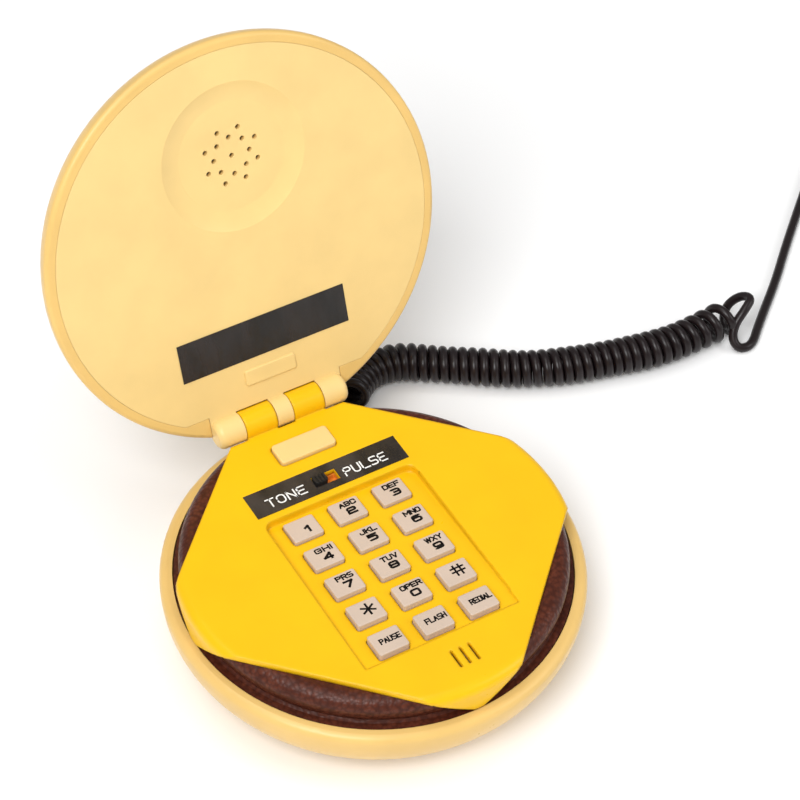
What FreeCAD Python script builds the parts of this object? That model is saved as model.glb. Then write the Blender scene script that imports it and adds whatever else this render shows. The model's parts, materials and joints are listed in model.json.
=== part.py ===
import FreeCAD, Part
import math
import os

from FreeCAD import Placement, Rotation, Vector

# A clamshell desk telephone in the shape of a hamburger, in millimetres.
# The origin is the centre of the foot ring on the table, +Z is up and the hinge is at the back, +Y.

# Driving sizes
RIM_R = 62.5  # widest radius of the top bun
BUN_R = 62.3  # widest radius of the bottom bun
PLATE_Z = 36.0  # top of the cheese plate above the table
PLATE_T = 1.8
PLATE_SPAN = 71.5  # |x| + |y| along the plate's sides
FOLD_R = 59.0  # outside of the plate's folded corners
FOLD_ARC = 3.0
FOLD_TIP_Z = 26.5  # lowest point of a folded corner
CLEAR = 0.25  # gap round a moving piece

# Hinge
HINGE_Y, HINGE_Z = 57.3, 37.33
KNUCKLE_R = 4.54
KNUCKLE_X = (2.65, 2.9, 13.1, 13.35, 21.8)  # lid centre, base inner and outer, lid inner and outer
KNUCKLE_ROUND = 2.0  # on the outer ends
OPEN_DEG = 109.6
PIN_R = 1.5

# Bottom bun
BASE_Z = 1.0  # underside of the bun, which the foot ring holds off the table
BUN_FLAT_R = 37.3
BUN_WIDE_Z = 23.0
BUN_LIP_Z = 25.5
BUN_LIP_R = 58.5
FLOOR_T = 2.5
FOOT_R = (31.0, 36.0)
FOOT_T = 2.0

# Patty
DECK_Z = PLATE_Z - PLATE_T
DECK_T = 2.0
PATTY_DECK_R = 52.6
PATTY_R = 56.7
COLLAR_R = 58.2
COLLAR_Z = 25.2
DECK_OPENINGS = (((-27.2, -41.6), (27.2, 36)), ((-16.5, -45.3), (16.5, -40)), ((-11.3, 35), (11.3, 48.2)))
HINGE_NOTCH = (22.6, 49.8, 32.4)  # half width, front and bottom of the patty's notch under the hinge

# Keypad, on a plane that falls towards the hinge
KEY_PITCH = (14.78, 12.2)
KEY_SIZE = (9.6, 8.0)
KEY_MID_Y, KEY_MID_Z = -8.63, 35.81
KEY_TILT = math.degrees(math.atan(0.05))
KEY_ROWS = (
    ("1", "2", "3"), ("4", "5", "6"), ("7", "8", "9"), ("star", "0", "hash"), ("pause", "flash", "redial"),
)
KEY_ROUND, KEY_TOP_ROUND = 0.7, 0.35
KEY_PROUD = 1.2  # key top above the recess floor
KEY_TRAVEL = 0.8
RECESS_X = 25.0
RECESS_Y = (-38.4, 21.5)
RECESS_ROUND = 3.0
RECESS_DEPTH = (0.9, 2.8)  # floor below the plate's top at the front and at the back
GUTTER = (21.5, 25.3, 1.1)  # left and right side and depth of the sunk strip right of the keys
GUTTER_Y = -33.6
FLANGE_TOP = -KEY_PROUD - PLATE_T - 0.1
FLANGE_T = 1.0
PAD_TOP = FLANGE_TOP - FLANGE_T - KEY_TRAVEL - 0.3
BOARD_TOP = PAD_TOP - 1.1
BOARD_T = 1.6

# Switches and openings in the plate
LABEL_SIZE = (50.6, 9.55)
LABEL_Y = 28.5
SLOT_X, SLOT_Y = (-4.5, 3.5), (26.2, 30.4)
HOOK_Y = 42.3
HOOK_SIZE = (18.4, 7.8)
HOOK_TOP_Z = 37.3
BOSS_TOP = 0.7  # the lid's pad over the hook button, above the lid's inner face
MIC = (1.8, -46.8)
MIC_PITCH = 2.9

# Lid, drawn closed and then turned open about the hinge
LID_Z = 38.3  # inner face of the closed lid
COVER_R = 59.3
COVER_T = 2.0
CROWN_Z = 64.3
WIDE_Z = 39.8
EAR_X, EAR_Y = 1.1, HINGE_Y - 83.8
EAR_R = (16.8, 22.7)
EAR_DEPTH = 1.5
EAR_HOLE_R = 0.75
EAR_UNIT_R, FOAM_T = 14.0, 1.0
EAR_BACK_Z = LID_Z + EAR_DEPTH + 1.8  # back of the dish's wall

LID_WALL = 2.3
HOOK_PAD = (16.7, 5.1)

# Screws
BOSS_R, HEAD_HOLE_R, SHANK_HOLE_R = 4.6, 3.2, 1.7  # in the bottom bun
HEAD_Z = 3.8  # underside of the base screws' heads
POST_R, POST_Z = 3.5, 10.0  # the posts they enter
BOARD_POST_R, BOARD_SHANK_R = 2.2, 1.0

# Microphone and ringer
BOOT_R, CAPSULE_R, CAPSULE_Z = 4.0, 3.0, 30.2
RINGER_R = (13.5, 10.0)

# Leads
LEAD_R, LEAD_WAY_R = 0.6, 0.9

# Cord
WIRE_R = 1.5
COIL_R = 6.25  # outside of the curly part
RELIEF_DEG = 66.0
RELIEF_Z = 12.0
RELIEF_END = 68.0
HANK_CENTRE = Vector(262.0, 97.0, 0.0)
HANK_R = (10.6, 20.9)
HANK_Z = (0.05, 6.3)

CURLY_ROUTE = [
    (27.7, 62.1, 12.0), (31.6, 70.9, 10.4), (37.8, 78.6, 7.9), (46.6, 84.0, 6.6), (56.8, 83.2, 6.4),
    (66.2, 76.6, 6.4), (77.5, 69.2, 6.4), (90.0, 60.8, 6.4), (104.0, 55.0, 6.4), (119.0, 51.0, 6.4),
    (134.0, 47.6, 6.4), (149.0, 47.4, 6.4), (161.5, 48.6, 6.4),
]
TAIL_ROUTE = [
    (161.9, 45.0, 4.4), (167.8, 44.2, 2.4), (176.6, 48.4, 1.6), (188.7, 58.4, 1.6), (201.0, 70.0, 1.6),
    (217.0, 84.2, 1.6), (234.5, 99.6, 1.6), (251.2, 112.5, 1.6),
]
END_ROUTE = [(279.8, 90.5, 4.6), (277.0, 80.8, 3.9), (272.6, 71.6, 3.3)]

# Leads through the hinge, which meet on its axis
MEET_X = 2.78
BASE_LEAD_ROUTE = [
    (MEET_X, HINGE_Y, HINGE_Z), (6.0, HINGE_Y, HINGE_Z), (6.6, 51.7, 33.4), (8.2, 46.4, 29.2),
    (12.0, 39.6, 27.9),
]
LID_LEAD_ROUTE = [
    (EAR_X, -18.4, 46.2), (0.6, -5.0, 46.6), (0.4, 14.0, 46.0), (0, 36.0, 44.6), (0, HINGE_Y, 43.6),
    (0, HINGE_Y, HINGE_Z), (MEET_X, HINGE_Y, HINGE_Z),
]

# Seeds
SEED_COUNT = 30
SEED_SPREAD = 44.0
GOLDEN_DEG = 137.508


# Helpers

def line(start, end):
    return Part.LineSegment(start, end).toShape()


def at(radius, height):
    return Vector(radius, height, 0)


def ellipse_arc(centre, wide, tall, start_deg, end_deg):
    ellipse = Part.Ellipse(centre, wide, tall)
    return Part.ArcOfEllipse(ellipse, math.radians(start_deg), math.radians(end_deg)).toBSpline().toShape()


def arc(start, middle, end):
    return Part.Arc(start, middle, end).toShape()


def flat_face(first, *items):
    """A face whose outline starts at a point and runs through points and curved edges in order."""
    edges, here = [], first
    for item in items + (first,):
        if isinstance(item, Vector):
            ends = [item, item]
        else:
            ends = [item.valueAt(item.FirstParameter), item.valueAt(item.LastParameter)]
            ends.sort(key=here.distanceToPoint)
        if here.distanceToPoint(ends[0]) > 1e-6:
            edges.append(line(here, ends[0]))
        if not isinstance(item, Vector):
            edges.append(item)
        here = ends[1]
    return Part.Face(Part.Wire(edges))


def turned(*items):
    """A solid of revolution about +Z, from an outline with x as radius and y as height."""
    face = flat_face(*items)
    face.rotate(Vector(), Vector(1, 0, 0), 90)
    return face.revolve(Vector(), Vector(0, 0, 1), 360)


def box(low, high):
    low, high = Vector(*low), Vector(*high)
    return Part.makeBox(high.x - low.x, high.y - low.y, high.z - low.z, low)


def rod(centre, radius, height, direction=Vector(0, 0, 1)):
    return Part.makeCylinder(radius, height, Vector(*centre), direction)


def side_prism(outline, x_low, x_high):
    """A prism along X from an outline of (y, z) points."""
    points = [Vector(x_low, y, z) for y, z in outline]
    return Part.Face(Part.makePolygon(points + points[:1])).extrude(Vector(x_high - x_low, 0, 0))


def round_box(size_x, size_y, z_low, z_high, radius, top_radius=0.0):
    """A box centred on the Z axis with rounded upright edges, and a rounded top if asked."""
    solid = box((-size_x / 2, -size_y / 2, z_low), (size_x / 2, size_y / 2, z_high))
    upright = [e for e in solid.Edges if abs(e.Vertexes[0].Z - e.Vertexes[1].Z) > 1e-6]
    solid = solid.makeFillet(radius, upright)
    if top_radius:
        rim = [e for e in solid.Edges if e.BoundBox.ZMin > z_high - 1e-4]
        solid = solid.makeFillet(top_radius, rim)
    return solid


def moved(shape, x=0.0, y=0.0, z=0.0):
    shape = shape.copy()
    shape.translate(Vector(x, y, z))
    return shape


def on_keys(shape, x=0.0, y=KEY_MID_Y):
    """Places a shape drawn on z = 0 = key top onto the tilted key plane, at plan position x, y."""
    shape = shape.copy()
    spin = Rotation(Vector(1, 0, 0), -KEY_TILT)
    shape.Placement = Placement(Vector(x, y, key_plane(y)), spin).multiply(shape.Placement)
    return shape


def key_plane(y):
    return KEY_MID_Z - math.tan(math.radians(KEY_TILT)) * (y - KEY_MID_Y)


def route_edges(points, name=""):
    """Straight runs joined by arcs as large as each pair of runs allows."""
    points = [Vector(*p) for p in points]
    edges, here, radii = [], points[0], []
    for before, corner, after in zip(points, points[1:], points[2:]):
        back, on = before - corner, after - corner
        cut = 0.45 * min(back.Length, on.Length)
        back.normalize()
        on.normalize()
        half_turn = (math.pi - back.getAngle(on)) / 2
        radius = cut / math.tan(half_turn)
        inward = back + on
        inward.normalize()
        middle = corner + inward * (math.hypot(radius, cut) - radius)
        edges += [line(here, corner + back * cut), arc(corner + back * cut, middle, corner + on * cut)]
        here = corner + on * cut
        radii.append(round(radius, 1))
    if name:
        print(name, "arc radii", radii)
    return edges + [line(here, points[-1])]


def tube(points, radius, name=""):
    edges = route_edges(points, name)
    path = Part.Wire(edges)
    start = Vector(*points[0])
    heading = Vector(*points[1]) - start
    ring = Part.Wire(Part.makeCircle(radius, start, heading))
    solid = path.makePipeShell([ring], True, False)
    if name:
        expected = math.pi * radius ** 2 * path.Length
        print(name, "length", round(path.Length, 1), "volume ratio", round(solid.Volume / expected, 4))
    return solid


def opened(shape):
    shape = shape.copy()
    shape.rotate(Vector(0, HINGE_Y, HINGE_Z), Vector(1, 0, 0), -OPEN_DEG)
    return shape


def save(node, shape):
    shape.exportStep(f"parts/{node}.step")


def four_ways(x, y):
    return [(sx * x, sy * y) for sx in (-1, 1) for sy in (-1, 1)]


# Base body

SCREW_PLACES = four_ways(30.4, 30.4)
BOARD_SCREWS = [(-13.0, -42.5), (13.0, -42.5), (-15.0, 28.5), (15.0, 28.5)]
RELIEF_AXIS = Vector(math.cos(math.radians(RELIEF_DEG)), math.sin(math.radians(RELIEF_DEG)), 0)


def bottom_bun():
    floor_z = BASE_Z + FLOOR_T
    centre = at(BUN_FLAT_R, BUN_WIDE_Z)
    outside = ellipse_arc(centre, BUN_R - BUN_FLAT_R, BUN_WIDE_Z - BASE_Z, 270, 360)
    inside = ellipse_arc(centre, BUN_LIP_R - BUN_FLAT_R, BUN_WIDE_Z - floor_z, 270, 360)
    shoulder = arc(at(BUN_R, BUN_WIDE_Z), at(61.7, 24.7), at(60.2, BUN_LIP_Z))
    body = turned(at(0, BASE_Z), outside, shoulder, at(0, BUN_LIP_Z))
    body = body.cut(turned(at(0, floor_z), inside, at(BUN_LIP_R, 30), at(0, 30)))
    for x, y in SCREW_PLACES:
        body = body.fuse(rod((x, y, floor_z), BOSS_R, POST_Z - floor_z))
    for x, y in SCREW_PLACES:
        body = body.cut(rod((x, y, -1), HEAD_HOLE_R, 7)).cut(rod((x, y, 0), SHANK_HOLE_R, 12))
    body = body.cut(rod((0, 0, 0), FOOT_R[1], FOOT_T).cut(rod((0, 0, 0), FOOT_R[0], FOOT_T)))
    mouth = Vector(0, 0, RELIEF_Z)
    body = body.cut(rod(mouth + RELIEF_AXIS * 50, 3.0, 12, RELIEF_AXIS))
    return body.cut(rod(mouth + RELIEF_AXIS * 58.3, 4.7, 8, RELIEF_AXIS)).removeSplitter()


def foot_ring():
    return rod((0, 0, 0), FOOT_R[1], FOOT_T).cut(rod((0, 0, 0), FOOT_R[0], FOOT_T))


def patty_ring():
    ring = turned(
        at(0, DECK_Z), at(PATTY_DECK_R, DECK_Z),
        arc(at(PATTY_DECK_R, DECK_Z), at(55.5, 33.0), at(PATTY_R, 30.4)),
        arc(at(PATTY_R, 30.4), at(56.5, 28.7), at(56.0, 27.2)), at(55.5, 26.0), at(56.2, COLLAR_Z),
        at(COLLAR_R, COLLAR_Z), at(COLLAR_R, 20.0), at(56.2, 20.0), at(54.0, 25.6), at(54.6, 30.2),
        arc(at(54.6, 30.2), at(53.8, 31.6), at(52.4, DECK_Z - DECK_T)), at(0, DECK_Z - DECK_T),
    )
    for low, high in DECK_OPENINGS:
        ring = ring.cut(box(low + (30,), high + (36,)))
    ring = ring.cut(box((-HINGE_NOTCH[0], HINGE_NOTCH[1], HINGE_NOTCH[2]), (HINGE_NOTCH[0], 60, 36)))
    ring = ring.cut(rod((MIC[0], MIC[1], 30), BOOT_R + 0.2, 6))
    for x, y in SCREW_PLACES:
        ring = ring.fuse(rod((x, y, POST_Z), POST_R, DECK_Z - 1 - POST_Z))
    for x, y in SCREW_PLACES:
        ring = ring.cut(rod((x, y, POST_Z - 1), PIN_R, 13))
    return ring.cut(tube(BASE_LEAD_ROUTE, LEAD_WAY_R)).removeSplitter()


def folded_corner_waste(turn):
    """What is cut off below the two slanting edges of a folded corner, drawn at -Y and turned."""
    kink = (PLATE_SPAN - math.sqrt(2 * FOLD_R ** 2 - PLATE_SPAN ** 2)) / 2
    waste = []
    for side in (-1, 1):
        outline = [(0, FOLD_TIP_Z), (side * 1.4, FOLD_TIP_Z), (side * kink, DECK_Z)]
        outline += [(side * 22, DECK_Z), (side * 22, 20), (0, 20)]
        points = [Vector(x, -62, z) for x, z in outline]
        waste.append(Part.Face(Part.makePolygon(points + points[:1])).extrude(Vector(0, 9, 0)))
    waste = waste[0].fuse(waste[1])
    waste.rotate(Vector(), Vector(0, 0, 1), turn)
    return waste


def plate_sheet():
    """The flat sheet with its rounded fold and skirt, cut to a square standing on its corner."""
    inner_r, inner_z = FOLD_R - PLATE_T, PLATE_Z - PLATE_T
    bend = FOLD_R - FOLD_ARC
    slant = math.sqrt(0.5)
    soft = FOLD_ARC * (1 - slant)
    tight = (FOLD_ARC - PLATE_T) * (1 - slant)
    sheet = turned(
        at(0, PLATE_Z), at(bend, PLATE_Z),
        arc(at(bend, PLATE_Z), at(FOLD_R - soft, PLATE_Z - soft), at(FOLD_R, PLATE_Z - FOLD_ARC)),
        at(FOLD_R, 24), at(inner_r, 24), at(inner_r, PLATE_Z - FOLD_ARC),
        arc(at(inner_r, PLATE_Z - FOLD_ARC), at(inner_r - tight, inner_z - tight), at(bend, inner_z)),
        at(0, inner_z),
    )
    corners = [Vector(x * PLATE_SPAN, y * PLATE_SPAN, 0) for x, y in ((1, 0), (0, 1), (-1, 0), (0, -1))]
    square = Part.Face(Part.makePolygon(corners + corners[:1])).extrude(Vector(0, 0, 60))
    sheet = sheet.common(square)
    for turn in (0, 90, 270):
        sheet = sheet.cut(folded_corner_waste(turn))
    return sheet


def recess_wedge(grow, front_z, back_z, top_z):
    """The keypad recess, or what bounds it below: a wedge with rounded corners at the back."""
    front, back = RECESS_Y[0], RECESS_Y[1] + grow
    wedge = side_prism([(back, top_z), (back, back_z), (front, front_z), (front, top_z)],
                       -RECESS_X - grow, RECESS_X + grow)
    outline = round_box(2 * (RECESS_X + grow), 2 * (back - front), 20, 40, RECESS_ROUND + grow)
    return wedge.common(moved(outline, y=front))


def recess():
    """What is cut out of the plate round the keys, with the sunk strip on their right."""
    front_z, back_z = [PLATE_Z - depth for depth in RECESS_DEPTH]
    left, right, depth = GUTTER
    corners = [Vector(left, GUTTER_Y, PLATE_Z), Vector(right, GUTTER_Y, PLATE_Z - depth),
               Vector(right, GUTTER_Y, PLATE_Z + 1), Vector(left, GUTTER_Y, PLATE_Z + 1)]
    length = RECESS_Y[1] - RECESS_ROUND - 1 - GUTTER_Y
    strip = Part.Face(Part.makePolygon(corners + corners[:1])).extrude(Vector(0, length, 0))
    return recess_wedge(0, front_z, back_z, PLATE_Z + 2).fuse(strip)


def recess_tray():
    """The wall under the recess, whose underside is parallel to the key tops."""
    front_z, back_z = [key_plane(y) - KEY_PROUD - PLATE_T for y in (RECESS_Y[0], RECESS_Y[1] + PLATE_T)]
    return recess_wedge(PLATE_T, front_z, back_z, DECK_Z + 0.5)


def cheese_plate():
    plate = plate_sheet().cut(box((-30, 52.4, 20), (30, 64, 40)))
    plate = plate.fuse(recess_tray())
    web = [(50, DECK_Z), (53.2, 33.6), (HINGE_Y, 32.95), (HINGE_Y, PLATE_Z), (50, PLATE_Z)]
    for side in (-1, 1):
        low, high = sorted((side * KNUCKLE_X[1], side * KNUCKLE_X[2]))
        knuckle = rod((low, HINGE_Y, HINGE_Z), KNUCKLE_R, high - low, Vector(1, 0, 0))
        plate = plate.fuse(side_prism(web, low, high)).fuse(knuckle)
    for x, y in BOARD_SCREWS:
        roof = DECK_Z + 0.6 - key_plane(y)
        plate = plate.fuse(on_keys(rod((0, 0, BOARD_TOP), BOARD_POST_R, roof - BOARD_TOP), x, y))
    plate = plate.cut(recess())
    for x, y in BOARD_SCREWS:
        plate = plate.cut(on_keys(rod((0, 0, BOARD_TOP), BOARD_SHANK_R + 0.05, 2.6), x, y))
    hole = round_box(KEY_SIZE[0] + 2 * CLEAR, KEY_SIZE[1] + 2 * CLEAR, -8, 2, KEY_ROUND + CLEAR)
    for _, x, y in key_places():
        plate = plate.cut(on_keys(hole, x, y))
    plate = plate.cut(box((SLOT_X[0], SLOT_Y[0], 30), (SLOT_X[1], SLOT_Y[1], 40)))
    hook_hole = round_box(HOOK_SIZE[0] + 2 * CLEAR, HOOK_SIZE[1] + 2 * CLEAR, 30, 40, 1.4)
    plate = plate.cut(moved(hook_hole, y=HOOK_Y))
    for step in (-1, 0, 1):
        plate = plate.cut(moved(round_box(0.9, 6.5, 30, 40, 0.44), MIC[0] + step * MIC_PITCH, -47.25))
    for side in (-1, 1):
        plate = plate.cut(rod((side * 8.2, HINGE_Y, HINGE_Z), PIN_R + 0.01, 10, Vector(side, 0, 0)))
    return plate.cut(tube(BASE_LEAD_ROUTE, LEAD_WAY_R)).removeSplitter()


def mode_label():
    label = box((-LABEL_SIZE[0] / 2, LABEL_Y - LABEL_SIZE[1] / 2, PLATE_Z),
                (LABEL_SIZE[0] / 2, LABEL_Y + LABEL_SIZE[1] / 2, PLATE_Z + 0.2))
    return label.cut(box((SLOT_X[0], SLOT_Y[0], 30), (SLOT_X[1], SLOT_Y[1], 40)))


def mode_switch_body():
    y = (SLOT_Y[0] + SLOT_Y[1]) / 2
    top = DECK_Z - key_plane(y) - 0.35
    body = box((-7.5, -3.2, BOARD_TOP), (6.5, 3.2, top))
    trough = box((SLOT_X[0] - 0.2, -1.9, top - 1.6), (SLOT_X[1] + 0.2, 1.9, top + 1))
    return on_keys(body.cut(trough), 0, y)


def mode_switch_knob():
    y = (SLOT_Y[0] + SLOT_Y[1]) / 2
    foot = DECK_Z - key_plane(y) - 0.35 - 1.5
    top = PLATE_Z + 1.2 - key_plane(y)
    knob = round_box(4.0, 3.2, foot, top, 0.4)
    for step in (-1, 0, 1):
        knob = knob.cut(box((step * 1.1 - 0.25, -2, top - 0.4), (step * 1.1 + 0.25, 2, top + 1)))
    return on_keys(knob, SLOT_X[0] + 0.2 + 2.0, y)


def main_pcb():
    front, back = -45.0 - KEY_MID_Y, 47.0 - KEY_MID_Y
    corners = [(-21, front + 7), (-16, front), (16, front), (21, front + 7), (21, back), (-21, back)]
    points = [Vector(x, y, BOARD_TOP - BOARD_T) for x, y in corners]
    board = on_keys(Part.Face(Part.makePolygon(points + points[:1])).extrude(Vector(0, 0, BOARD_T)))
    board = board.cut(rod((MIC[0], MIC[1], 20), BOOT_R + 0.6, 20))
    for x, y in BOARD_SCREWS:
        board = board.cut(on_keys(rod((0, 0, BOARD_TOP - 3), BOARD_SHANK_R + 0.2, 6), x, y))
    return board


def pcb_screws():
    screws = []
    for x, y in BOARD_SCREWS:
        head = rod((0, 0, BOARD_TOP - BOARD_T - 1.3), 1.9, 1.3)
        head = head.cut(cross_slot(BOARD_TOP - BOARD_T - 1.3, 2.2, 0.5))
        shank = rod((0, 0, BOARD_TOP - BOARD_T), BOARD_SHANK_R, BOARD_T + 2.4)
        screws.append(on_keys(head.fuse(shank), x, y))
    return Part.Compound(screws)


def cross_slot(z, length, width):
    bar = box((-length / 2, -width / 2, z - 0.1), (length / 2, width / 2, z + 0.7))
    other = bar.copy()
    other.rotate(Vector(), Vector(0, 0, 1), 90)
    return bar.fuse(other)


def base_screws():
    head = rod((0, 0, HEAD_Z), 2.8, 2.2).cut(cross_slot(HEAD_Z, 3.6, 0.8))
    screw = head.fuse(rod((0, 0, 6.0), PIN_R - 0.05, 12.0))
    return Part.Compound([moved(screw, x, y) for x, y in SCREW_PLACES])


def keypad_membrane():
    sheet = box((-20.6, -31, BOARD_TOP), (20.6, 31, PAD_TOP - 0.5))
    sheet = on_keys(sheet, 0, KEY_MID_Y + 1.0)
    for _, x, y in key_places():
        sheet = sheet.fuse(on_keys(rod((0, 0, BOARD_TOP + 0.2), 2.6, PAD_TOP - BOARD_TOP - 0.2), x, y))
    return sheet.removeSplitter()


def mic_boot():
    low = CAPSULE_Z - 0.6
    cup = rod((MIC[0], MIC[1], low), BOOT_R, DECK_Z - low)
    return cup.cut(rod((MIC[0], MIC[1], CAPSULE_Z), CAPSULE_R + 0.05, 10))


def mic_capsule():
    can = rod((MIC[0], MIC[1], CAPSULE_Z), CAPSULE_R, 2.6)
    return can.cut(rod((MIC[0], MIC[1], CAPSULE_Z + 2.1), 0.5, 1))


def hook_switch_body():
    low = BOARD_TOP
    case = box((-6.4, -2.9, low), (6.4, 2.9, low + 3.6))
    return on_keys(case.fuse(rod((0, 0, low + 3.5), 1.0, 0.5)), 0, HOOK_Y)


def ringer_disc():
    floor_z = BASE_Z + FLOOR_T
    return rod((0, 0, floor_z), RINGER_R[0], 0.6).fuse(rod((0, 0, floor_z + 0.5), RINGER_R[1], 0.4))


def strain_relief():
    sleeve = turned(
        at(0, 52), at(2.95, 52), at(2.95, 58.3), at(4.6, 58.3), at(4.6, 60.6), at(3.6, 61.2),
        at(2.4, RELIEF_END), at(0, RELIEF_END),
    )
    sleeve.rotate(Vector(), Vector(0, 1, 0), 90)
    sleeve.rotate(Vector(), Vector(0, 0, 1), RELIEF_DEG)
    return moved(sleeve, z=RELIEF_Z)


def hinge_pin(side):
    return rod((side * 8.4, HINGE_Y, HINGE_Z), PIN_R, 11.0, Vector(side, 0, 0))


# Keys and buttons

def key_places():
    """Name and plan position of every key, row by row from the hinge."""
    places = []
    for row, names in enumerate(KEY_ROWS):
        for column, name in enumerate(names):
            places.append((name, (column - 1) * KEY_PITCH[0], KEY_MID_Y + (2 - row) * KEY_PITCH[1]))
    return places


def key_cap():
    cap = round_box(KEY_SIZE[0], KEY_SIZE[1], FLANGE_TOP - 0.5, 0, KEY_ROUND, KEY_TOP_ROUND)
    flange = round_box(KEY_SIZE[0] + 1.2, KEY_SIZE[1] + 1.2, FLANGE_TOP - FLANGE_T, FLANGE_TOP, 1.2)
    stem = rod((0, 0, FLANGE_TOP - FLANGE_T - 0.2), 1.8, 1.0)
    return cap.fuse(flange).fuse(stem).removeSplitter()


def hook_button():
    cap = round_box(HOOK_SIZE[0], HOOK_SIZE[1], 33.5, HOOK_TOP_Z, 1.2, 0.5)
    flange = round_box(HOOK_SIZE[0] + 2, HOOK_SIZE[1] + 2, 33.0, 34.0, 1.2)
    return moved(cap.fuse(flange).fuse(rod((0, 0, 32.6), 1.5, 1.0)).removeSplitter(), y=HOOK_Y)


# Lid, closed

def top_bun():
    high = CROWN_Z - WIDE_Z
    centre = at(0, WIDE_Z)
    seat_r, lip_r, inside_r = COVER_R + 0.05, COVER_R - 1.7, 59.2
    seat_z = LID_Z + COVER_T
    start_deg = math.degrees(math.acos(inside_r / (RIM_R - LID_WALL)))
    dome = turned(
        at(0, CROWN_Z - LID_WALL), ellipse_arc(centre, RIM_R - LID_WALL, high - LID_WALL, start_deg, 90),
        at(inside_r, seat_z + 1.5), at(lip_r, seat_z + 1.5), at(lip_r, seat_z), at(seat_r, seat_z),
        at(seat_r, LID_Z), at(61.2, LID_Z), arc(at(61.2, LID_Z), at(62.1, 38.7), at(RIM_R, WIDE_Z)),
        ellipse_arc(centre, RIM_R, high, 0, 90),
    )
    filler = rod((0, 0, LID_Z), seat_r + 0.5, COVER_T + 0.5).common(box((-40, 51.4, 30), (40, 70, 50)))
    dome = dome.fuse(filler)
    return dome.cut(box((-22.15, 50, 30), (22.15, 70, 42.2))).removeSplitter()


def lid_inner_cover():
    cover = rod((0, 0, LID_Z), COVER_R, COVER_T)
    cover = cover.cut(box((-40, 51.3, 30), (40, 70, 50)))
    hinge_strip = box((-22, 50, LID_Z), (22, HINGE_Y, LID_Z + COVER_T))
    cover = cover.fuse(hinge_strip)
    dish = turned(
        at(0, LID_Z + EAR_DEPTH), at(EAR_R[0], LID_Z + EAR_DEPTH),
        arc(at(EAR_R[0], LID_Z + EAR_DEPTH), at(20.2, LID_Z + 0.86), at(EAR_R[1], LID_Z)),
        at(24.6, LID_Z), at(24.6, LID_Z + COVER_T), at(17.6, EAR_BACK_Z), at(0, EAR_BACK_Z),
    )
    cover = cover.cut(rod((EAR_X, EAR_Y, 30), 23.6, 20)).fuse(moved(dish, EAR_X, EAR_Y))
    collar = rod((0, 0, EAR_BACK_Z - 0.8), 15.8, 4.0).cut(rod((0, 0, EAR_BACK_Z - 0.8), 14.15, 4.0))
    cover = cover.fuse(moved(collar, EAR_X, EAR_Y))
    for x, y in ear_holes():
        cover = cover.cut(rod((EAR_X + x, EAR_Y + y, 35), EAR_HOLE_R, 12))
    pad = round_box(HOOK_PAD[0], HOOK_PAD[1], -LID_Z - 1, BOSS_TOP - LID_Z, 0.9, 0.4)
    pad.rotate(Vector(), Vector(1, 0, 0), 180)
    cover = cover.fuse(moved(pad, y=HINGE_Y - 14.1))
    for side in (-1, 1):
        low, high = sorted((side * KNUCKLE_X[0], side * KNUCKLE_X[3]))
        cover = cover.cut(box((low, HINGE_Y - 4.8, 30), (high, 64, 45)))
    for low, high in lid_knuckles():
        cover = cover.fuse(lid_knuckle(low, high))
    for side in (-1, 1):
        start = Vector(side * (KNUCKLE_X[3] - 1), HINGE_Y, HINGE_Z)
        cover = cover.cut(rod(start, PIN_R + 0.06, 20.0 - KNUCKLE_X[3] + 1, Vector(side, 0, 0)))
    lead_way = box((-1.0, HINGE_Y - 1, HINGE_Z - 1), (1.0, HINGE_Y + 1, 45))
    lead_way = lead_way.fuse(rod((0, HINGE_Y, HINGE_Z), 1.0, 3, Vector(1, 0, 0)))
    return cover.cut(lead_way).removeSplitter()


def lid_knuckles():
    centre, outer = KNUCKLE_X[0], KNUCKLE_X[3:]
    return [(-centre, centre), outer, (-outer[1], -outer[0])]


def lid_knuckle(low, high):
    knuckle = rod((low, HINGE_Y, HINGE_Z), KNUCKLE_R, high - low, Vector(1, 0, 0))
    far = max(abs(low), abs(high))
    if far < 10:
        return knuckle
    rims = [e for e in knuckle.Edges if e.Curve.TypeId == "Part::GeomCircle"]
    return knuckle.makeFillet(KNUCKLE_ROUND, [e for e in rims if abs(abs(e.CenterOfMass.x) - far) < 0.01])


def ear_holes():
    places = [(0.0, 0.0)]
    for radius, turn in ((5.73, 0.8), (8.58, 23.3)):
        for step in range(8):
            angle = math.radians(turn + 45 * step)
            places.append((radius * math.sin(angle), -radius * math.cos(angle)))
    return places


def memo_label():
    return box((-27.65, HINGE_Y - 32.5, LID_Z - 0.2), (27.65, HINGE_Y - 20.0, LID_Z))


def earpiece_foam():
    foam = rod((0, 0, EAR_BACK_Z), EAR_UNIT_R - 0.1, FOAM_T).cut(rod((0, 0, EAR_BACK_Z), 9.6, FOAM_T))
    return moved(foam, EAR_X, EAR_Y)


def earpiece_speaker():
    z = EAR_BACK_Z + FOAM_T
    return moved(rod((0, 0, z), EAR_UNIT_R, 2.2).fuse(rod((0, 0, z + 2.0), 8.0, 2.9)), EAR_X, EAR_Y)


def lid_leads():
    return tube(LID_LEAD_ROUTE, LEAD_R)


def base_leads():
    return tube(BASE_LEAD_ROUTE, LEAD_R)


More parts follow.
